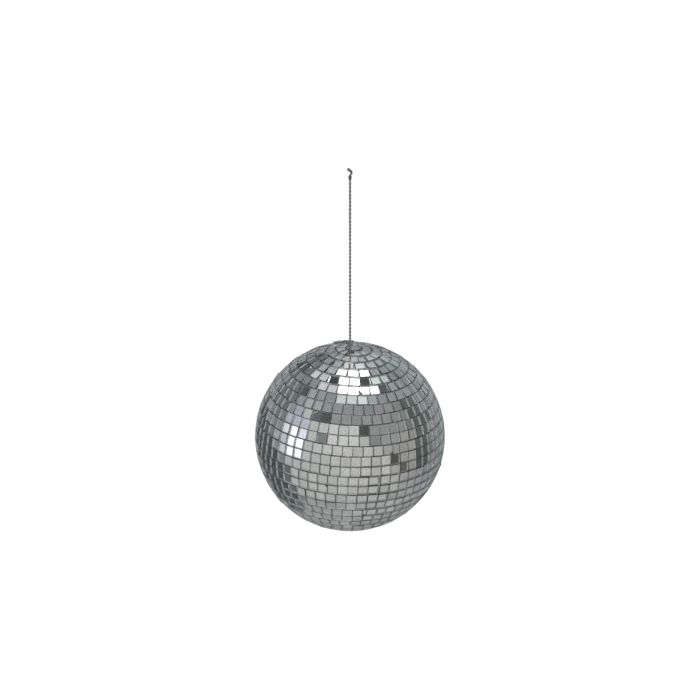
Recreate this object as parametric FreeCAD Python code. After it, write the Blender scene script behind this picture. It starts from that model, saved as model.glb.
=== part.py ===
import FreeCAD, Part
import math
import os
import random

# Mirror ball, 100 mm across the glass, on a twisted hanging cord with a hand-tied loop.
# Millimetres, +Z up. The origin is the inside top of the hanging loop, where a hook bears.

os.makedirs("parts", exist_ok=True)
V = FreeCAD.Vector
Z = V(0, 0, 1)

# ball
core_radius = 48.3
core_wall = 1.6
lap_length = 2.0
lap_radius = 47.5
lap_root = 1.0
glue_line = 0.05
cloth_thick = 0.3
cloth_margin = 0.35
cloth_seam = 1.2
cloth_hole_margin = 0.4

# further out than anything on the ball: the length of the shapes that only cut
reach = 60.0

# mirror tiles, cut square from silvered sheet glass
tile_side = 4.9
tile_thick = 1.2
tile_joint = 0.06
tile_pitch = 5.27
row_pitch = 6.15
top_row_edge = 85.3
hole_keep_out = 1.25
hole_width = 11.0
smallest_tile = 1.5
wedge_latitude = 73.0
wedge_height = 4.55
cap_joint = 0.3
cap_lift = 0.02
cap_nip = 0.62
proud_tiles = {(3, 15): 0.55, (3, 16): 0.5}

# how unevenly the tiles sit, in degrees: they lie flatter on the broad rows than on the crown
usual_lean = 0.8
crown_lean = 1.3
crown_latitude = 35.0
polar_lean = 0.5
crooked_share = 0.05
crooked_times = 3.5
most_lean = 4.5
usual_turn = 0.8

# how far a tile strays: turned and set sideways by shares of its play, up or down and into
# the glue by millimetres
turn_share = 0.3
sideways_share = 0.25
updown_stray = 0.1
glue_sink = 0.04

# degrees inside a row's edge where its tiles come closest together
row_play = 0.2

# corners lost in snapping: how many tiles, how deep, and how steep the break runs
nipped_share = 0.05
nip_depth = (0.5, 1.3)
nip_slope = (0.6, 1.6)

# the rows run about an axis that leans off the cord, because the strips are laid by hand
row_lean = 7.0
row_lean_towards = 71.0

# hanging cord and its fastening inside the ball
cord_dia = 1.4
strand_dia = 0.7
knot_radius = 0.95
swing_gap = 0.1
cord_above_ball = 97.2
loop_height = 4.0
loop_bend_share = 0.45
cord_x = 1.1
pad_height = 45.6
pad_thick = 3.0
pad_margin = 1.0
eyelet_bore = 2.0
eyelet_barrel = 3.2
eyelet_flange = 8.0
eyelet_flange_thick = 0.9
washer_dia = 9.0
washer_thick = 0.8
anchor_knot_radius = 1.8
anchor_knot_turns = 3

bed_radius = core_radius + cloth_thick + 2 * glue_line
glass_radius = 50.0
centre = V(cord_x, 0, -(loop_height + cord_above_ball + glass_radius))
knot_centre = V(cord_x, 0, -loop_height)


def save(name, shape):
    """One node, as one STEP file."""
    shape.exportStep("parts/" + name + ".step")
    print(name, len(shape.Solids), "solids", round(shape.Volume, 2), "mm3", shape.isValid())


# core: two moulded half shells with a stepped lap at the equator, and a pad round the cord hole
def half_shell(sign):
    ball = Part.makeSphere(core_radius).cut(Part.makeSphere(core_radius - core_wall))
    box = Part.makeBox(2 * reach, 2 * reach, reach, V(-reach, -reach, 0 if sign > 0 else -reach))
    return ball.common(box)


pad = Part.makeCylinder(eyelet_flange / 2 + pad_margin, pad_thick, V(0, 0, pad_height))
pad = pad.common(Part.makeSphere(core_radius - core_wall / 2))
upper = half_shell(1).cut(Part.makeCylinder(lap_radius, lap_length))
upper = upper.fuse(pad).removeSplitter()
upper = upper.cut(Part.makeCylinder(eyelet_barrel / 2, reach))
spigot = Part.makeSphere(core_radius).cut(Part.makeSphere(core_radius - core_wall))
spigot = spigot.common(
    Part.makeCylinder(lap_radius - glue_line, lap_length - glue_line + lap_root, V(0, 0, -lap_root))
)
lower = half_shell(-1).fuse(spigot).removeSplitter()
upper.translate(centre)
lower.translate(centre)
save("core_upper_half", upper)
save("core_lower_half", lower)

# eyelet pushed up through the pad, and the washer that bears on the knot below it
barrel_top = math.sqrt(core_radius**2 - (eyelet_barrel / 2) ** 2) - glue_line
eyelet = Part.makeCylinder(eyelet_barrel / 2, barrel_top - pad_height, V(0, 0, pad_height))
flange_base = pad_height - eyelet_flange_thick
eyelet = eyelet.fuse(
    Part.makeCylinder(eyelet_flange / 2, eyelet_flange_thick, V(0, 0, flange_base))
)
eyelet = eyelet.removeSplitter()
eyelet = eyelet.cut(Part.makeCylinder(eyelet_bore / 2, reach))
eyelet.translate(centre)
save("cord_eyelet", eyelet)

washer_base = flange_base - washer_thick
washer = Part.makeCylinder(washer_dia / 2, washer_thick, V(0, 0, washer_base))
washer = washer.cut(Part.makeCylinder(eyelet_bore / 2, washer_thick, V(0, 0, washer_base)))
washer.translate(centre)
save("anchor_washer", washer)

# anchor knot: wound turns round the cord's end, flat on top where the cord runs in
knot_top = washer_base - swing_gap
turn_radius = anchor_knot_radius / 2
knot = Part.makeCylinder(cord_dia / 2, 2 * turn_radius + cord_dia)
for turn in range(anchor_knot_turns):
    ring = Part.makeTorus(turn_radius, strand_dia, V(0, 0, strand_dia + turn * cord_dia / 2))
    knot = knot.fuse(ring)
knot = knot.removeSplitter()
knot_height = knot.BoundBox.ZMax
knot.translate(centre + V(0, 0, knot_top - knot_height))
save("anchor_knot", knot)

# cord: pulled straight by the ball, from the anchor knot up to the loop knot
cord_low = centre.z + knot_top
cord_high = knot_centre.z - knot_radius - swing_gap
cord = Part.makeCylinder(cord_dia / 2, cord_high - cord_low, V(cord_x, 0, cord_low))
save("hanging_cord", cord)
print("cord length", round(cord_high - cord_low, 2), "mm, one straight run")

# loop knot: the throat of the folded cord, and the point that the cord swings from
save("loop_knot", Part.makeSphere(knot_radius, knot_centre))


# hanging loop: one strand, up from the knot, sideways round an elbow, over the hook and back
def rounded_route(points):
    """Straight runs joined by tangent arcs, as one wire; also the radii, for printing."""
    edges = []
    radii = []
    start = points[0]
    for before, corner, after in zip(points, points[1:], points[2:]):
        inward = (before - corner).normalize()
        outward = (after - corner).normalize()
        half_turn = (math.pi - inward.getAngle(outward)) / 2
        setback = loop_bend_share * min((before - corner).Length, (after - corner).Length)
        radius = setback / math.tan(half_turn)
        bisector = (inward + outward).normalize()
        to_arc = radius / math.cos(half_turn) - radius
        arc_start = corner + inward * setback
        arc_end = corner + outward * setback
        edges.append(Part.LineSegment(start, arc_start).toShape())
        edges.append(Part.Arc(arc_start, corner + bisector * to_arc, arc_end).toShape())
        radii.append(round(radius, 2))
        start = arc_end
    edges.append(Part.LineSegment(start, points[-1]).toShape())
    return Part.Wire(edges), radii


leg_foot = knot_centre.z + knot_radius + swing_gap
leg = [
    V(cord_x + 0.1, 0.4, leg_foot + 0.3),
    V(cord_x + 0.85, 0.7, leg_foot + 0.85),
    V(cord_x + 0.95, 0.95, leg_foot + 1.7),
    V(cord_x + 0.05, 1.1, leg_foot + 2.4),
    V(0, 1.1, strand_dia / 2),
]
slant = V(0.2, 0, 0)
near_leg = [V(p.x, -p.y, p.z) for p in leg[:-1]] + [V(0, -leg[-1].y, leg[-1].z) - slant]
far_leg = [leg[-1] + slant] + leg[-2::-1]
route, radii = rounded_route(near_leg + far_leg)
section = Part.Wire(Part.makeCircle(strand_dia / 2, near_leg[0], near_leg[1] - near_leg[0]))
loop = route.makePipeShell([section], True, False)
save("hanging_loop", loop)
swept = route.Length * math.pi * strand_dia**2 / 4
print("loop line", round(route.Length, 2), "mm, radii", radii)
print("loop volume", round(loop.Volume, 3), "mm3, section times length", round(swept, 3))


# the strips, from the top: rows in the strip, longitude of one of its joints, and of its ends.
# Longitude 0 faces the front and grows to the right; the ends meet at a seam.
strips = [
    (1, 20, 200),
    (1, 12, 120),
    (1, 6, 250),
    (1, -1, 160),
    (1, 0, 215),
    (1, 5, 130),
    (1, 4.5, 190),
    (1, -1, 240),
    (1, -0.7, 150),
    (2, 1.8, 205),
    (1, 5.3, 28),
    (2, 2.2, 170),
    (2, 18.2, 18.2),
    (2, 3.5, 140),
    (1, -1.4, 11),
    (1, 2.6, 185),
    (1, -1, 230),
    (1, 3, 155),
    (1, 0, 210),
    (1, 4, 125),
    (1, -2, 195),
    (1, 2, 145),
    (1, 5, 220),
    (1, 0, 175),
]

chance = random.Random(41)
lean_about = V(-math.sin(math.radians(row_lean_towards)), math.cos(math.radians(row_lean_towards)), 0)
row_axes = FreeCAD.Rotation(lean_about, row_lean)
hole_direction = row_axes.inverted().multVec(Z)


def clip(outline, point, away):
    """The part of a flat outline on the far side of a line through point."""
    kept = []
    for a, b in zip(outline, outline[1:] + outline[:1]):
        side_a = (a - point).dot(away)
        side_b = (b - point).dot(away)
        if side_a > 0:
            kept.append(a)
        if side_a * side_b < 0:
            kept.append(a + (b - a) * (side_a / (side_a - side_b)))
    return kept


def four_sided(south, north, height):
    """A square tile, or one cut to a wedge, about its middle."""
    return [
        V(-south / 2, -height / 2, 0),
        V(south / 2, -height / 2, 0),
        V(north / 2, height / 2, 0),
        V(-north / 2, height / 2, 0),
    ]


def area(outline):
    return sum(a.x * b.y - b.x * a.y for a, b in zip(outline, outline[1:] + outline[:1])) / 2


def on_ball(latitude, longitude):
    """Outward direction at a latitude and longitude of the rows, in degrees."""
    lat = math.radians(latitude)
    lon = math.radians(longitude - 90)
    return V(math.cos(lat) * math.cos(lon), math.cos(lat) * math.sin(lon), math.sin(lat))


def tile_seat(latitude, longitude, turn, lean_north, lean_east, lift):
    """Where a tile's back lies: x to the east, y to the north, z out of the ball."""
    out = on_ball(latitude, longitude)
    east = Z.cross(out).normalize()
    north = out.cross(east)
    facing = FreeCAD.Rotation(east, north, out, "ZXY")
    set_down = FreeCAD.Rotation(V(0, 0, 1), turn)
    set_down = set_down.multiply(FreeCAD.Rotation(V(1, 0, 0), -lean_north))
    set_down = set_down.multiply(FreeCAD.Rotation(V(0, 1, 0), lean_east))
    return FreeCAD.Placement(out * (bed_radius + lift), facing.multiply(set_down))


def tile(outline, seat):
    """A piece of silvered glass on its seat, cut back from the cord hole."""
    hole = seat.inverse().multVec(hole_direction * glass_radius)
    hole.z = 0
    if hole.Length < hole_width:
        middle = sum(outline, V(0, 0, 0)) * (1 / len(outline))
        away = (middle - hole).normalize()
        outline = clip(outline, hole + away * hole_keep_out, away)
    if len(outline) < 3 or area(outline) < smallest_tile**2:
        return None
    prism = Part.Face(Part.makePolygon(outline + outline[:1])).extrude(V(0, 0, tile_thick))
    prism.Placement = seat
    return prism


def sector_width(latitude, sector, towards_pole):
    """Room for a tile in its share of a row, at an edge that far from the tile's middle."""
    lat = math.radians(abs(latitude))
    off_axis = bed_radius * math.cos(lat) - towards_pole * math.sin(lat)
    return 2 * off_axis * math.tan(math.radians(sector / 2)) - 2 * tile_joint


def row_of_tiles(strip, latitude, pitch, start):
    """One row: tiles from the seam round, and one cut to close it if there is room."""
    tiles = []
    whole = int(360 / pitch)
    spare = 360 - whole * pitch
    half_row = math.degrees(tile_side / 2 / bed_radius)
    inner_edge = bed_radius * math.cos(math.radians(abs(latitude) + half_row))
    step = math.radians(pitch) * inner_edge
    slack = max(tile_joint, step - tile_side)
    for number in range(whole + 1):
        width = tile_side
        height = tile_side
        middle = start + (number + 0.5) * pitch
        sector = pitch
        if number == whole:
            width = min(tile_side, math.radians(spare) * inner_edge - tile_joint)
            middle = start - spare / 2
            sector = spare
        if width < smallest_tile:
            continue
        south = width
        north = width
        if abs(latitude) > wedge_latitude:
            height = wedge_height
            to_north = math.copysign(height / 2, latitude)
            south = min(tile_side, sector_width(latitude, sector, -to_north))
            north = min(tile_side, sector_width(latitude, sector, to_north))
        outline = four_sided(south, north, height)
        if chance.random() < nipped_share:
            corner = V(chance.choice([-1, 1]) * width / 2, chance.choice([-1, 1]) * height / 2, 0)
            along = V(-corner.x, -corner.y * chance.uniform(*nip_slope), 0).normalize()
            outline = clip(outline, corner + along * chance.uniform(*nip_depth), along)
        spread = crown_lean if latitude > crown_latitude else usual_lean
        if chance.random() < crooked_share:
            spread *= crooked_times
        if abs(latitude) > wedge_latitude:
            spread = polar_lean
        lean_north = max(-most_lean, min(most_lean, chance.gauss(0, spread)))
        lean_east = max(-most_lean, min(most_lean, chance.gauss(0, spread)))
        most_turn = math.degrees(turn_share * slack / tile_side)
        turn = max(-most_turn, min(most_turn, chance.gauss(0, usual_turn)))
        lift = tile_side / 2 * math.sin(math.radians(abs(lean_north) + abs(lean_east)))
        lift = max(0, lift - glue_sink) + proud_tiles.get((strip, number), 0)
        stray = chance.uniform(-sideways_share, sideways_share) * slack
        sideways = math.degrees(stray / inner_edge)
        updown = math.degrees(chance.uniform(-updown_stray, updown_stray) / bed_radius)
        seat = tile_seat(latitude + updown, middle + sideways, turn, lean_north, lean_east, lift)
        piece = tile(outline, seat)
        if piece:
            tiles.append(piece)
    return tiles


def cloth_band(low, high, start):
    """The woven backing of a strip: a band of sphere with a gap at the seam."""
    margin = math.degrees(cloth_margin / bed_radius)
    gap = math.degrees(cloth_seam / bed_radius) / math.cos(math.radians((low + high) / 2))
    inner = core_radius + glue_line
    outer = inner + cloth_thick
    corners = []
    for latitude in (low + margin, (low + high) / 2, high - margin):
        lat = math.radians(latitude)
        corners.append(V(math.cos(lat), 0, math.sin(lat)))
    edges = [
        Part.Arc(*[c * inner for c in corners]).toShape(),
        Part.LineSegment(corners[2] * inner, corners[2] * outer).toShape(),
        Part.Arc(*[c * outer for c in reversed(corners)]).toShape(),
        Part.LineSegment(corners[0] * outer, corners[0] * inner).toShape(),
    ]
    profile = Part.Face(Part.Wire(edges))
    band = profile.revolve(V(0, 0, 0), Z, 360 - gap)
    band.rotate(V(0, 0, 0), Z, start + gap / 2 - 90)
    return band


def lay(shape):
    """From the rows' own axis to the ball as it hangs."""
    placed = shape.copy()
    placed.Placement = FreeCAD.Placement(centre, row_axes).multiply(placed.Placement)
    return placed


hole_cut = Part.makeCylinder(eyelet_barrel / 2 + cloth_hole_margin, reach)
hole_cut.rotate(V(0, 0, 0), lean_about, -row_lean)
high = top_row_edge
for index, (rows, joint, ends) in enumerate(strips, 1):
    low = high - rows * row_pitch
    middle = (low + high) / 2
    tight_edge = math.radians(max(abs(low), abs(high)) - row_play)
    if abs(middle) > wedge_latitude:
        tight_edge = math.radians(min(abs(low), abs(high)))
    closest = (tile_side + tile_joint) / bed_radius / math.cos(tight_edge)
    nominal = tile_pitch / glass_radius / math.cos(math.radians(middle))
    pitch = math.degrees(closest if abs(middle) > wedge_latitude else max(closest, nominal))
    start = joint + pitch * round((ends - joint) / pitch)
    tiles = []
    for row in range(rows):
        latitude = high - (row + 0.5) * row_pitch
        tiles += row_of_tiles(index, latitude, pitch, start)
    save("mirror_strip_%02d" % index, Part.makeCompound([lay(t) for t in tiles]))
    cloth = cloth_band(low, high, start)
    if index <= 2:
        cloth = cloth.cut(hole_cut)
    save("cloth_strip_%02d" % index, lay(cloth))
    high = low


# pole caps: a tile cut to four quarters, with its outer corners nipped off
def cap(sign, radius):
    side = radius - cap_joint
    quarters = []
    for corner_x, corner_y in ((1, 1), (-1, 1), (-1, -1), (1, -1)):
        outline = [V(p.x + side / 2, p.y + side / 2, 0) for p in four_sided(side, side, side)]
        outline = clip(outline, V(side, side, 0) * cap_nip, V(-1, -1, 0))
        outline = [p + V(tile_joint, tile_joint, 0) for p in outline]
        turn = FreeCAD.Rotation(Z, math.degrees(math.atan2(corner_y, corner_x)) - 45)
        outline = [turn.multVec(p) for p in outline]
        flip = FreeCAD.Rotation(V(1, 0, 0), 0 if sign > 0 else 180)
        seat = FreeCAD.Placement(V(0, 0, sign * (bed_radius + cap_lift)), flip)
        quarters.append(tile(outline, seat))
    return Part.makeCompound([lay(q) for q in quarters if q])


save("top_cap_mirror", cap(1, math.radians(90 - top_row_edge) * bed_radius))
save("bottom_cap_mirror", cap(-1, math.radians(90 + low) * bed_radius))
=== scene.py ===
import math

import bmesh
import bpy
import numpy as np
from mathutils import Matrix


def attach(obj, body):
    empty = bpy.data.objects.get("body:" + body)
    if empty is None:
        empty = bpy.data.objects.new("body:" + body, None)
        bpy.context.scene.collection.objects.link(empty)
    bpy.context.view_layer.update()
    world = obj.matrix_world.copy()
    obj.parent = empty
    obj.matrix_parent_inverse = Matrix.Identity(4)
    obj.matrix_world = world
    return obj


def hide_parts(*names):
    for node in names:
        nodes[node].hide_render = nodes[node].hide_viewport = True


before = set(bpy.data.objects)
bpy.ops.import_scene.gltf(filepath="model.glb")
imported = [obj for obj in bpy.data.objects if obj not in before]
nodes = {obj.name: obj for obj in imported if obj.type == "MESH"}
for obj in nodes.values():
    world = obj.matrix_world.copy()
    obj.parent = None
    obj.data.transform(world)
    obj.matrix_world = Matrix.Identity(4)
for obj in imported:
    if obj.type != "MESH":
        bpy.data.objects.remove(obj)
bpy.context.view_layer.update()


# ---------------------------------------------------------------------------
# Hanging cord: two strands of silvered thread laid up together, 1.4 mm over the pair, and
# pressed flat against each other towards the loop. The ball's weight pulls it straight,
# from the knot inside the core to the loop knot.
# ---------------------------------------------------------------------------
CORD_X = 0.0011
KNOT_Z = -0.0040
ANCHOR_Z = -0.1074
CORD_TOP_Z = -0.00505
STRAND = 0.00070
STRAND_OFFSET = 0.46 * STRAND
STRAND_RADIUS = 0.48 * STRAND
STRAND_ROUND_MM = 2.2
LAY = 0.0040
UNEVEN_LAY = ((0.35, 410, 0), (0.25, 173, 1))
LOOSE = 0.95
PRESSED = 1.2
PRESSED_FROM = 0.070
PRESSED_TO = 0.085
CORD_STEP = 0.00014
FIBRE_MM = 0.14
BLOTCH_MM = 1.7
FILM_RELIEF = 0.00005


def linear(hex_colour):
    """sRGB hex to the linear colour that a shader socket takes."""
    parts = np.array([int(hex_colour[i : i + 2], 16) / 255 for i in (0, 2, 4)])
    low = parts / 12.92
    high = ((parts + 0.055) / 1.055) ** 2.4
    return (*np.where(parts <= 0.04045, low, high), 1.0)


def add(tree, kind, inputs=(), **settings):
    """One node, with its settings, and each input given a value or a link."""
    made = tree.nodes.new(kind)
    for key, value in settings.items():
        setattr(made, key, value)
    for key, value in dict(inputs).items():
        if isinstance(value, bpy.types.NodeSocket):
            tree.links.new(value, made.inputs[key])
        else:
            made.inputs[key].default_value = value
    return made


def finish_of(name):
    """An empty material: its node tree, and its output socket for a surface."""
    made = bpy.data.materials.new(name)
    made.use_nodes = True
    made.node_tree.nodes.clear()
    out = made.node_tree.nodes.new("ShaderNodeOutputMaterial")
    return made, made.node_tree, out.inputs["Surface"]


def ramp(tree, value, *stops):
    """A colour ramp over a value; each stop is a place and a hex colour."""
    made = add(tree, "ShaderNodeValToRGB", {"Fac": value})
    steps = made.color_ramp.elements
    for _ in stops[2:]:
        steps.new(0.5)
    for step, (place, colour) in zip(steps, stops):
        step.position = place
        step.color = linear(colour)
    return made.outputs["Color"]


def bands(period):
    """Scale of a wave texture whose bands repeat at that period: pi / 10 over it."""
    return math.pi / 10 / period


def thread_of(name, dull, middling, bright):
    """Metallised thread, its grey running from dull to bright in blotches."""
    made, tree, surface = finish_of(name)
    place = add(tree, "ShaderNodeUVMap", uv_map="along_and_round").outputs["UV"]
    fibres = add(
        tree,
        "ShaderNodeTexWave",
        {"Vector": place, "Scale": bands(FIBRE_MM), "Distortion": 1.5, "Detail": 2.0, "Detail Scale": 2.0},
        wave_type="BANDS",
        bands_direction="DIAGONAL",
    )
    blotch = add(tree, "ShaderNodeTexNoise", {"Vector": place, "Scale": 1 / BLOTCH_MM, "Detail": 3.0})
    grey = ramp(tree, blotch.outputs["Fac"], (0.3, dull), (0.55, middling), (0.75, bright))
    streaks = ramp(tree, fibres.outputs["Color"], (0.2, "6e7070"), (0.8, "c8cac9"))
    shade = add(tree, "ShaderNodeMix", {"Factor": 0.35, "A": grey, "B": streaks}, data_type="RGBA")
    raised = add(
        tree, "ShaderNodeBump", {"Height": fibres.outputs["Fac"], "Strength": 0.5, "Distance": FILM_RELIEF}
    )
    body = add(
        tree,
        "ShaderNodeBsdfPrincipled",
        {
            "Base Color": shade.outputs[2],
            "Metallic": 0.4,
            "Roughness": 0.42,
            "Normal": raised.outputs["Normal"],
        },
    )
    tree.links.new(body.outputs["BSDF"], surface)
    return made


# Metallised polyester thread: a film of aluminium on a twisted yarn. It gives a grey
# satin line with slanting fibres, which are drawn coarser than they are so that they show.
thread = thread_of("metallised_polyester_thread", "7e8181", "989b9b", "b0b2b1")

# The same thread, darker, on the knot and the loop.
dark_thread = thread_of("dark_polyester_thread", "2e3030", "464848", "6c6e6e")


def smooth_line(name, points):
    """The NURBS line through a route, read as points: order 3, reaching both ends."""
    curve = bpy.data.curves.new(name, "CURVE")
    curve.dimensions = "3D"
    spline = curve.splines.new("NURBS")
    spline.points.add(len(points) - 1)
    spline.points.foreach_set("co", np.c_[np.array(points), np.ones(len(points))].ravel())
    spline.order_u = 3
    spline.use_endpoint_u = True
    spline.resolution_u = 24
    holder = bpy.data.objects.new(name, curve)
    mesh = bpy.data.meshes.new_from_object(holder)
    line = np.empty(len(mesh.vertices) * 3)
    mesh.vertices.foreach_get("co", line)
    bpy.data.objects.remove(holder)
    bpy.data.curves.remove(curve)
    bpy.data.meshes.remove(mesh)
    return line.reshape(-1, 3)


def evenly(line, step):
    """The same line with points a step apart, and each point's distance along it."""
    gone = np.r_[0, np.cumsum(np.linalg.norm(np.diff(line, axis=0), axis=1))]
    at = np.linspace(0, gone[-1], max(4, int(gone[-1] / step)))
    return np.stack([np.interp(at, gone, line[:, k]) for k in range(3)], axis=1), at


def across(line, towards):
    """Two unit directions square to the line at each point, the first leaning towards a vector."""
    ahead = np.gradient(line, axis=0)
    ahead /= np.linalg.norm(ahead, axis=1, keepdims=True)
    side = towards - (towards * ahead).sum(1, keepdims=True) * ahead
    side /= np.linalg.norm(side, axis=1, keepdims=True)
    return side, np.cross(ahead, side)


def strand_grid(line, at, towards, radius, flat=1.0, sides=14):
    """A tube round a line: point = line + radius (cos t side + flat sin t other), t once round."""
    side, other = across(line, towards)
    turn = np.linspace(0, 2 * math.pi, sides, endpoint=False)
    radius, flat = (np.broadcast_to(size, at.shape)[:, None, None] for size in (radius, flat))
    grid = line[:, None] + radius * (
        np.cos(turn)[None, :, None] * side[:, None] + flat * np.sin(turn)[None, :, None] * other[:, None]
    )
    return grid, at


def strands_object(name, grids):
    """One mesh of several closed tubes, with millimetres along and round each as its map."""
    places, faces, maps, first = [], [], [], 0
    for grid, at in grids:
        rings, sides = grid.shape[:2]
        number = first + np.arange(rings * sides).reshape(rings, sides)
        nxt = np.roll(number, -1, axis=1)
        quads = np.stack([number[:-1], nxt[:-1], nxt[1:], number[1:]], axis=-1).reshape(-1, 4)
        along = np.broadcast_to(at[:, None] * 1000, (rings, sides + 1))
        about = np.broadcast_to(np.arange(sides + 1)[None] / sides * STRAND_ROUND_MM, (rings, sides + 1))
        chart = np.stack([along, about], axis=-1)
        corners = np.stack(
            [chart[:-1, :-1], chart[:-1, 1:], chart[1:, 1:], chart[1:, :-1]], axis=2
        ).reshape(-1, 2)
        places.append(grid.reshape(-1, 3))
        faces += quads.tolist() + [number[0][::-1].tolist(), number[-1].tolist()]
        maps.append(np.r_[corners, np.zeros((2 * sides, 2))])
        first += rings * sides
    mesh = bpy.data.meshes.new(name)
    mesh.from_pydata(np.concatenate(places).tolist(), [], faces)
    mesh.uv_layers.new(name="along_and_round").data.foreach_set("uv", np.concatenate(maps).ravel())
    mesh.polygons.foreach_set("use_smooth", np.ones(len(faces), bool))
    mesh.update()
    made = bpy.data.objects.new(name, mesh)
    bpy.context.scene.collection.objects.link(made)
    return made


cord_route = [
    (CORD_X, 0, ANCHOR_Z),
    (CORD_X, 0, -0.080),
    (CORD_X, 0, -0.040),
    (CORD_X, 0, CORD_TOP_Z),
]
cord_line = smooth_line("cord_line", cord_route)
middle, gone = evenly(cord_line, CORD_STEP)
side, other = across(middle, np.array([[1.0, 0, 0]]))
wander = sum(size * np.sin(gone * rate + start) for size, rate, start in UNEVEN_LAY)
angle = 2 * math.pi * gone / LAY + wander
pressed = np.interp(gone, (PRESSED_FROM, PRESSED_TO), (LOOSE, PRESSED))
pair = []
for start in (0, math.pi):
    out = np.cos(angle + start)[:, None] * side + np.sin(angle + start)[:, None] * other
    pair.append(strand_grid(middle + out * STRAND_OFFSET, gone, out, STRAND_RADIUS, flat=pressed))
cord = strands_object("hanging_cord_twist", pair)
cord.data.materials.append(thread)
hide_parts("hanging_cord")
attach(cord, "cord")


# ---------------------------------------------------------------------------
# Loop knot: the folded thread wound round its own throat and pulled tight. Point of its
# line = (waist cos t, waist sin t, rise), where the waist closes in at both ends.
# ---------------------------------------------------------------------------
KNOT_TURNS = 3.2
KNOT_WAIST = 0.00050
KNOT_HALF_HEIGHT = 0.0008
KNOT_STRAND_RADIUS = 0.00036
KNOT_STEP = 0.0001

rise = np.linspace(-1, 1, 90)
wind = math.pi * KNOT_TURNS * rise
waist = KNOT_WAIST * np.sqrt(np.clip(1 - rise**6, 0.02, 1))
knot_line = np.stack(
    [CORD_X + waist * np.cos(wind), waist * np.sin(wind), KNOT_Z + KNOT_HALF_HEIGHT * rise], axis=1
)
knot_line, gone = evenly(knot_line, KNOT_STEP)
outward = knot_line - np.array([[CORD_X, 0, 0]])
outward[:, 2] = 0
loop_knot = strands_object(
    "loop_knot_turns", [strand_grid(knot_line, gone, outward, KNOT_STRAND_RADIUS)]
)
loop_knot.data.materials.append(dark_thread)
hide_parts("loop_knot")
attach(loop_knot, "knot")


# ---------------------------------------------------------------------------
# Hanging loop: the fold of the thread, left open above the knot and set sideways by
# the hook it has hung on. A single strand, both ends in the knot.
# ---------------------------------------------------------------------------
LOOP_STEP = 0.0001
loop_heart = np.array([[CORD_X + 0.0003, 0, KNOT_Z + 0.0023]])

loop_route = [
    (CORD_X, -0.00028, KNOT_Z + 0.0004),
    (CORD_X + 0.0001, -0.0004, KNOT_Z + 0.00135),
    (CORD_X + 0.00085, -0.0007, KNOT_Z + 0.0019),
    (CORD_X + 0.00095, -0.00095, KNOT_Z + 0.00275),
    (CORD_X + 0.00005, -0.0011, KNOT_Z + 0.00345),
    (-0.0002, -0.0011, STRAND / 2),
    (0.0002, 0.0011, STRAND / 2),
    (CORD_X + 0.00005, 0.0011, KNOT_Z + 0.00345),
    (CORD_X + 0.00095, 0.00095, KNOT_Z + 0.00275),
    (CORD_X + 0.00085, 0.0007, KNOT_Z + 0.0019),
    (CORD_X + 0.0001, 0.0004, KNOT_Z + 0.00135),
    (CORD_X, 0.00028, KNOT_Z + 0.0004),
]
loop_line, gone = evenly(smooth_line("loop_line", loop_route), LOOP_STEP)
inward = loop_heart - loop_line
hanging_loop = strands_object("hanging_loop_strand", [strand_grid(loop_line, gone, inward, STRAND / 2)])
hanging_loop.data.materials.append(dark_thread)
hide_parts("hanging_loop")
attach(hanging_loop, "loop")


def give_finish(name, finish):
    """A part of the frame that keeps its own shape takes one finish all over."""
    nodes[name].data.materials.clear()
    nodes[name].data.materials.append(finish)


give_finish("anchor_knot", thread)


# ---------------------------------------------------------------------------
# Core: two half shells of moulded pale grey polystyrene, lapped at the equator and glued.
# Only slits of it show, at the seams of the cloth.
# ---------------------------------------------------------------------------
BEAD = 0.0011
GLUE_PATCH = 0.008
DIMPLE = 0.0001

# Moulded polystyrene: off-white beads pressed together, with glue dried on them in patches.
polystyrene, tree, surface = finish_of("moulded_polystyrene")
where = add(tree, "ShaderNodeTexCoord").outputs["Object"]
grain = add(tree, "ShaderNodeTexNoise", {"Vector": where, "Scale": 1 / BEAD, "Detail": 4.0})
glue = add(tree, "ShaderNodeTexNoise", {"Vector": where, "Scale": 1 / GLUE_PATCH, "Detail": 3.0})
tone = ramp(tree, glue.outputs["Fac"], (0.35, "c6c8c7"), (0.65, "dcdddc"))
dimples = add(tree, "ShaderNodeBump", {"Height": grain.outputs["Fac"], "Strength": 0.3, "Distance": DIMPLE})
body = add(
    tree,
    "ShaderNodeBsdfPrincipled",
    {"Base Color": tone, "Roughness": 0.6, "IOR": 1.59, "Normal": dimples.outputs["Normal"]},
)
tree.links.new(body.outputs["BSDF"], surface)
give_finish("core_upper_half", polystyrene)
give_finish("core_lower_half", polystyrene)


# ---------------------------------------------------------------------------
# Eyelet and washer: a turned brass eyelet in the core's hole, and a pressed steel washer
# that bears on the anchor knot.
# ---------------------------------------------------------------------------
TURNING = 0.0004
TARNISH = 0.0025
LINE_DEPTH = 0.00003


def metal(name, dull, bright, rough):
    """Bare metal, turned or pressed: fine lines and a slight tarnish."""
    made, tree, surface = finish_of(name)
    where = add(tree, "ShaderNodeTexCoord").outputs["Object"]
    lines = add(tree, "ShaderNodeTexNoise", {"Vector": where, "Scale": 1 / TURNING, "Detail": 2.0})
    tarnish = add(tree, "ShaderNodeTexNoise", {"Vector": where, "Scale": 1 / TARNISH, "Detail": 3.0})
    tone = ramp(tree, tarnish.outputs["Fac"], (0.35, dull), (0.65, bright))
    fine = add(
        tree, "ShaderNodeBump", {"Height": lines.outputs["Fac"], "Strength": 0.2, "Distance": LINE_DEPTH}
    )
    body = add(
        tree,
        "ShaderNodeBsdfPrincipled",
        {"Base Color": tone, "Metallic": 1.0, "Roughness": rough, "Normal": fine.outputs["Normal"]},
    )
    tree.links.new(body.outputs["BSDF"], surface)
    return made


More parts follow.
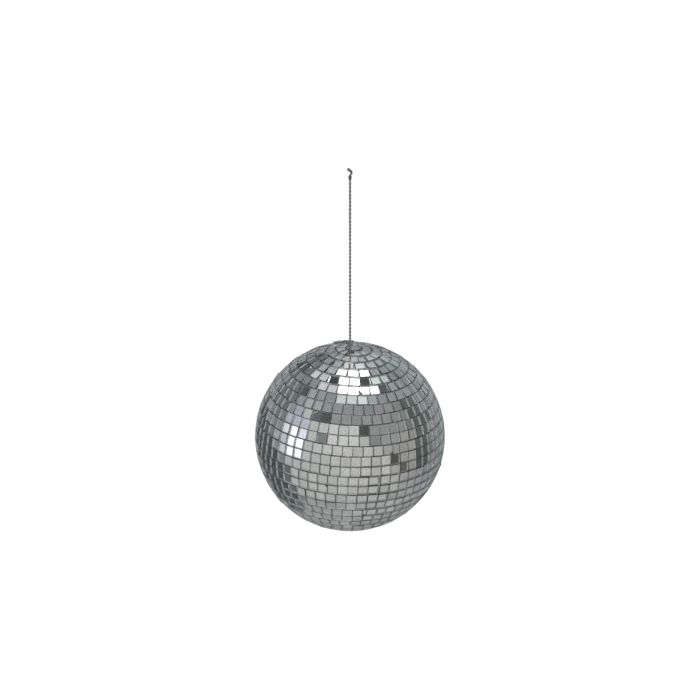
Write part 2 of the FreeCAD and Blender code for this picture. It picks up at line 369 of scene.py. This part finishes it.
# Turned brass is warm and a little dull. Zinc plate on steel is a flat blue-grey.
give_finish("cord_eyelet", metal("turned_brass", "8f7440", "c9a55c", 0.35))
give_finish("anchor_washer", metal("zinc_plated_steel", "8c8f92", "b9bcc0", 0.4))


# ---------------------------------------------------------------------------
# Backing cloth: the open-weave cotton that each strip of tiles comes on, stiff with glue.
# It shows at the bottom of the joints.
# ---------------------------------------------------------------------------
WEAVE = 0.00035
YARN_RISE = 0.0001

# Cotton scrim stiff with glue: matt off-white, darker in the holes of the weave.
cloth, tree, surface = finish_of("glued_cotton_scrim")
where = add(tree, "ShaderNodeTexCoord").outputs["Object"]
warp = add(
    tree,
    "ShaderNodeTexWave",
    {"Vector": where, "Scale": bands(WEAVE), "Distortion": 1.0, "Detail": 1.0},
    wave_type="BANDS",
    bands_direction="Z",
)
weft = add(
    tree,
    "ShaderNodeTexWave",
    {"Vector": where, "Scale": bands(WEAVE), "Distortion": 1.0, "Detail": 1.0},
    wave_type="BANDS",
    bands_direction="X",
)
weave = add(tree, "ShaderNodeMath", {0: warp.outputs["Fac"], 1: weft.outputs["Fac"]}, operation="MULTIPLY")
tone = ramp(tree, weave.outputs[0], (0.1, "c4c7c6"), (0.7, "e6e8e7"))
threads = add(tree, "ShaderNodeBump", {"Height": weave.outputs[0], "Strength": 0.6, "Distance": YARN_RISE})
body = add(
    tree,
    "ShaderNodeBsdfPrincipled",
    {"Base Color": tone, "Roughness": 0.85, "Normal": threads.outputs["Normal"]},
)
tree.links.new(body.outputs["BSDF"], surface)
for name in nodes:
    if name.startswith("cloth_strip"):
        give_finish(name, cloth)


# ---------------------------------------------------------------------------
# Mirror tiles: float glass 1.2 mm thick, silvered on the back, scored and snapped into
# 4.9 mm squares. Each tile is a block of clear glass with bright metal behind it, so its
# sides catch light of their own.
# ---------------------------------------------------------------------------
BALL = np.array([CORD_X, 0, -0.1512])
ARRIS = 0.00004
SPECK = 0.0007
OUTWARD = 0.7
WELD = 1e-6

# Float glass: clear, with a faint green from its iron.
glass, tree, surface = finish_of("float_glass")
body = add(
    tree,
    "ShaderNodeBsdfPrincipled",
    {
        "Base Color": linear("fbfcfc"),
        "Roughness": 0.0,
        "IOR": 1.52,
        "Transmission Weight": 1.0,
    },
)
tree.links.new(body.outputs["BSDF"], surface)

# Snapped edge: the same glass, greener and a little rough where the score ran.
edge, tree, surface = finish_of("snapped_glass_edge")
body = add(
    tree,
    "ShaderNodeBsdfPrincipled",
    {
        "Base Color": linear("a9b3af"),
        "Roughness": 0.12,
        "IOR": 1.52,
        "Transmission Weight": 0.7,
    },
)
tree.links.new(body.outputs["BSDF"], surface)

# Silvering: a chemical film of silver under grey paint. Seen through the glass it is a
# mirror, a shade different from tile to tile. Its mottle is drawn coarse enough to show.
silver, tree, surface = finish_of("silvering")
chance = add(tree, "ShaderNodeNewGeometry").outputs["Random Per Island"]
plain = ramp(tree, chance, (0.0, "e4e6e7"), (0.5, "f0f2f3"), (1.0, "f8f9fa"))
where = add(tree, "ShaderNodeTexCoord").outputs["Object"]
specks = add(tree, "ShaderNodeTexNoise", {"Vector": where, "Scale": 1 / SPECK, "Detail": 2.0})
mottle = ramp(tree, specks.outputs["Fac"], (0.35, "e6e7e7"), (0.6, "ffffff"))
tone = add(
    tree, "ShaderNodeMix", {"Factor": 1.0, "A": plain, "B": mottle}, data_type="RGBA", blend_type="MULTIPLY"
)
body = add(
    tree,
    "ShaderNodeBsdfPrincipled",
    {"Base Color": tone.outputs[2], "Metallic": 1.0, "Roughness": 0.03},
)
tree.links.new(body.outputs["BSDF"], surface)


def glazed(name):
    """A strip of tiles as whole blocks: front and sides of glass, back of silver."""
    mesh = bpy.data.meshes.new(name + "_glass")
    work = bmesh.new()
    work.from_mesh(nodes[name].data)
    bmesh.ops.remove_doubles(work, verts=work.verts, dist=WELD)
    bmesh.ops.dissolve_limit(
        work, angle_limit=math.radians(1), verts=work.verts, edges=work.edges, delimit=set()
    )
    work.to_mesh(mesh)
    work.free()
    count = len(mesh.polygons)
    facing = np.empty(count * 3)
    middle = np.empty(count * 3)
    mesh.polygons.foreach_get("normal", facing)
    mesh.polygons.foreach_get("center", middle)
    out = middle.reshape(-1, 3) - BALL
    out /= np.linalg.norm(out, axis=1, keepdims=True)
    lean = (out * facing.reshape(-1, 3)).sum(1)
    slot = np.where(lean > OUTWARD, 0, np.where(lean < -OUTWARD, 2, 1))
    for finish in (glass, edge, silver):
        mesh.materials.append(finish)
    mesh.polygons.foreach_set("material_index", slot.astype(np.int32))
    mesh.polygons.foreach_set("use_smooth", np.zeros(count, bool))
    made = bpy.data.objects.new(name + "_glass", mesh)
    bpy.context.scene.collection.objects.link(made)
    arris = made.modifiers.new("arris", "BEVEL")
    arris.width = ARRIS
    arris.segments = 1
    arris.limit_method = "ANGLE"
    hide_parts(name)
    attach(made, "ball")


for name in sorted(nodes):
    if "mirror" in name:
        glazed(name)


# ---------------------------------------------------------------------------
# Studio: a pale floor well below the ball. The tiles mirror a white sweep in front, a window
# to the left, a lamp box overhead and a grey room behind. The room shows only in the tiles:
# past the ball the camera sees plain white, and the floor is left out of reflections.
# ---------------------------------------------------------------------------
FLOOR_Z = -1.0
FLOOR_REACH = 8.0
TOOTH = 0.33
LAMP_EDGE = 0.015
paper, tree, surface = finish_of("white_paper")
where = add(tree, "ShaderNodeTexCoord").outputs["Object"]
tooth = add(tree, "ShaderNodeTexNoise", {"Vector": where, "Scale": 1 / TOOTH, "Detail": 2.0})
glow = add(
    tree,
    "ShaderNodeEmission",
    {"Color": ramp(tree, tooth.outputs["Fac"], (0.0, "fffdfa"), (1.0, "fffefd")), "Strength": 1.05},
)
tree.links.new(glow.outputs["Emission"], surface)
mesh = bpy.data.meshes.new("floor")
corners = [(x * FLOOR_REACH, y * FLOOR_REACH, FLOOR_Z) for x, y in ((-1, -1), (1, -1), (1, 1), (-1, 1))]
mesh.from_pydata(corners, [], [(0, 1, 2, 3)])
mesh.materials.append(paper)
floor = bpy.data.objects.new("floor", mesh)
floor.visible_glossy = False
floor.visible_transmission = False
bpy.context.scene.collection.objects.link(floor)

world = bpy.data.worlds.new("studio")
bpy.context.scene.world = world
world.use_nodes = True
tree = world.node_tree
tree.nodes.clear()
view = add(tree, "ShaderNodeTexCoord").outputs["Generated"]
axes = add(tree, "ShaderNodeSeparateXYZ", {"Vector": view}).outputs


def between(tree, value, low, high, soft):
    """1 where a value lies between two limits, falling to 0 over a soft edge."""
    rise, fall = (
        add(
            tree,
            "ShaderNodeMapRange",
            {
                "Value": value,
                "From Min": at - soft,
                "From Max": at + soft,
                "To Min": first,
                "To Max": 1 - first,
            },
            interpolation_type="SMOOTHSTEP",
        ).outputs["Result"]
        for at, first in ((low, 0.0), (high, 1.0))
    )
    return add(tree, "ShaderNodeMath", {0: rise, 1: fall}, operation="MULTIPLY").outputs[0]


def over(tree, base, top, factor):
    """One colour laid over another where a factor is 1."""
    return add(
        tree, "ShaderNodeMix", {"Factor": factor, "A": base, "B": top}, data_type="RGBA"
    ).outputs[2]


def lit(colour, gain):
    """A surface colour under a light of that strength."""
    return (*(part * gain for part in linear(colour)[:3]), 1.0)


behind = add(tree, "ShaderNodeMath", {0: axes["Y"], 1: -1.0}, operation="MULTIPLY").outputs[0]
turn = add(tree, "ShaderNodeMath", {0: axes["X"], 1: behind}, operation="ARCTAN2").outputs[0]
lift = add(tree, "ShaderNodeMath", {0: axes["Z"]}, operation="ARCSINE").outputs[0]
azimuth, elevation = (
    add(tree, "ShaderNodeMath", {0: angle}, operation="DEGREES").outputs[0] for angle in (turn, lift)
)
clutter = add(tree, "ShaderNodeTexNoise", {"Vector": view, "Scale": 2.6, "Detail": 4.0})
shades = ramp(tree, clutter.outputs["Fac"], (0.3, "8a9496"), (0.5, "a7aeb1"), (0.7, "c0c5c6"))

# Each panel: azimuth from and to, elevation from and to, soft edge, colour and light.
for panel in (
    (-200, 200, -100, -48, 6, "a9a9a8", 1.0),  # floor below the ball
    (0, 110, -100, -48, 8, "b9b8b6", 1.0),  # its lighter side
    (150, 200, 20, 55, 6, "bcc2c3", 1.0),  # pale wall behind, to the right
    (-200, -150, 20, 55, 6, "bcc2c3", 1.0),  # and to the left
    (114, 140, -42, 28, 6, "8e9597", 1.0),  # wall beside the cupboard
    (-74, 22, -52, 41, 3, "c4c3c0", 1.0),  # white sweep
    (-50, 10, 4, 40, 6, "d6d5d2", 1.0),  # its lit middle
    (-8, 24, -30, 16, 6, "cccac7", 1.0),  # its lit foot
    (20, 52, -50, 17, 4, "c7c5c2", 1.0),  # its side
    (46, 92, -50, 58, 5, "a5a3a1", 1.0),  # wall beyond it
    (44, 68, -50, -20, 4, "bab8b5", 1.0),  # foot of that wall
    (21, 92, 16, 56, 4, "9a9998", 1.0),  # wall above that side
    (20, 32, 27, 42, 2, "423f3d", 1.0),  # camera stand
    (49, 61, -16, -4, 2, "5f5d5a", 1.0),  # stool
    (62, 72, -27, -15, 2, "66645f", 1.0),
    (60, 104, -56, -31, 5, "a6a6a5", 1.0),  # floor to the right
    (87, 114, -12, 27, 3, "636967", 1.0),  # dark cupboard to the right
    (84, 114, -32, -10, 3, "5a605e", 1.0),  # its shadow
    (-150, -90, -60, -8, 4, "50575a", 1.0),  # dark cupboard to the left
    (-92, -78, -55, -20, 4, "6a7173", 1.0),  # its side
    (-46, -34, 18, 30, 2, "8f9192", 1.0),  # hanging card
    (-170, -100, 0, 36, 8, "737a7b", 1.0),  # door behind
    (-96, -57, -16, 31, 4, "c4c8d2", 1.0),  # window frame and sky
    (-87, -61, -11, 17, 3, "f2f2f8", 1.5),  # window
    (-55, 55, 42, 64, 4, "9a9c9c", 1.0),  # ceiling in front
    (-58, -34, 38, 52, 3, "5c6262", 1.0),
    (-124, -108, 36, 46, 3, "4c5050", 1.0),
    (-160, -148, 9, 18, 3, "434646", 1.0),
    (98, 112, 46, 58, 3, "5c6262", 1.0),
):
    start, stop, low, high, soft, colour, gain = panel
    inside = add(
        tree,
        "ShaderNodeMath",
        {
            0: between(tree, azimuth, start, stop, soft),
            1: between(tree, elevation, low, high, soft),
        },
        operation="MULTIPLY",
    ).outputs[0]
    shades = over(tree, shades, lit(colour, gain), inside)

# Overhead: ceiling with light patches, and the lamp box.
high_up = between(tree, elevation, 66, 200, 3)
patches = add(tree, "ShaderNodeTexNoise", {"Vector": view, "Scale": 5.0, "Detail": 2.0})
ceiling = ramp(tree, patches.outputs["Fac"], (0.45, "8f9696"), (0.6, "d5dada"))
shades = over(tree, shades, ceiling, high_up)
across_ceiling, along_ceiling = (
    add(tree, "ShaderNodeMath", {0: axes[axis], 1: axes["Z"]}, operation="DIVIDE").outputs[0]
    for axis in ("X", "Y")
)
overhead = between(tree, elevation, 20, 200, 1)
for left, right, near, far, colour, gain in (
    (0.46, 0.74, 0.12, 0.42, "5c6262", 1.0),  # lamp stand
    (0.62, 0.86, 0.55, 0.88, "c4d2ce", 1.0),  # lit ceiling past the stand
    (-0.75, -0.30, 0.02, 0.62, "d8dcdc", 1.0),  # ceiling beside the box
    (-0.27, 0.42, -0.30, -0.09, "dfe8e4", 1.0),  # light spilled in front of it
    (-0.26, 0.42, -0.10, 0.62, "ffffff", 4.0),  # lamp box
    (0.40, 0.58, -0.05, 0.10, "ffffff", 4.0),  # its side flap
    (-0.05, 0.30, 0.62, 1.0, "ffffff", 0.8),  # its tail
    (0.38, 0.46, 0.28, 0.40, "e4efe9", 1.0),  # light along its edge
    (-0.38, -0.28, 0.16, 0.28, "4a4f4d", 1.0),  # its clamps
    (0.19, 0.29, 0.10, 0.20, "565b59", 1.0),
):
    inside = add(
        tree,
        "ShaderNodeMath",
        {
            0: between(tree, across_ceiling, left, right, LAMP_EDGE),
            1: between(tree, along_ceiling, near, far, LAMP_EDGE),
        },
        operation="MULTIPLY",
    ).outputs[0]
    inside = add(tree, "ShaderNodeMath", {0: inside, 1: overhead}, operation="MULTIPLY").outputs[0]
    shades = over(tree, shades, lit(colour, gain), inside)
seen = add(tree, "ShaderNodeLightPath").outputs["Is Camera Ray"]
shades = over(tree, shades, lit("ffffff", 1.0), seen)
sky = add(tree, "ShaderNodeBackground", {"Color": shades, "Strength": 1.0})
add(tree, "ShaderNodeOutputWorld", {"Surface": sky.outputs["Background"]})


# ---------------------------------------------------------------------------
# Camera: a metre off, 30 degrees above the ball's middle, and aimed a little above it so
# that the whole cord is in view.
# ---------------------------------------------------------------------------
DISTANCE = 1.0
LENS_MM = 97.39
HEIGHT_ANGLE = math.radians(30.408)
DOWNWARD_TILT = math.radians(27.808)

lens = bpy.data.cameras.new("camera")
camera = bpy.data.objects.new("camera", lens)
bpy.context.scene.collection.objects.link(camera)
camera.location = BALL + DISTANCE * np.array([0, -math.cos(HEIGHT_ANGLE), math.sin(HEIGHT_ANGLE)])
camera.rotation_euler = (math.pi / 2 - DOWNWARD_TILT, 0, 0)
lens.sensor_width = 36
lens.lens = LENS_MM
bpy.context.scene.camera = camera
bpy.context.scene.view_settings.view_transform = "Standard"
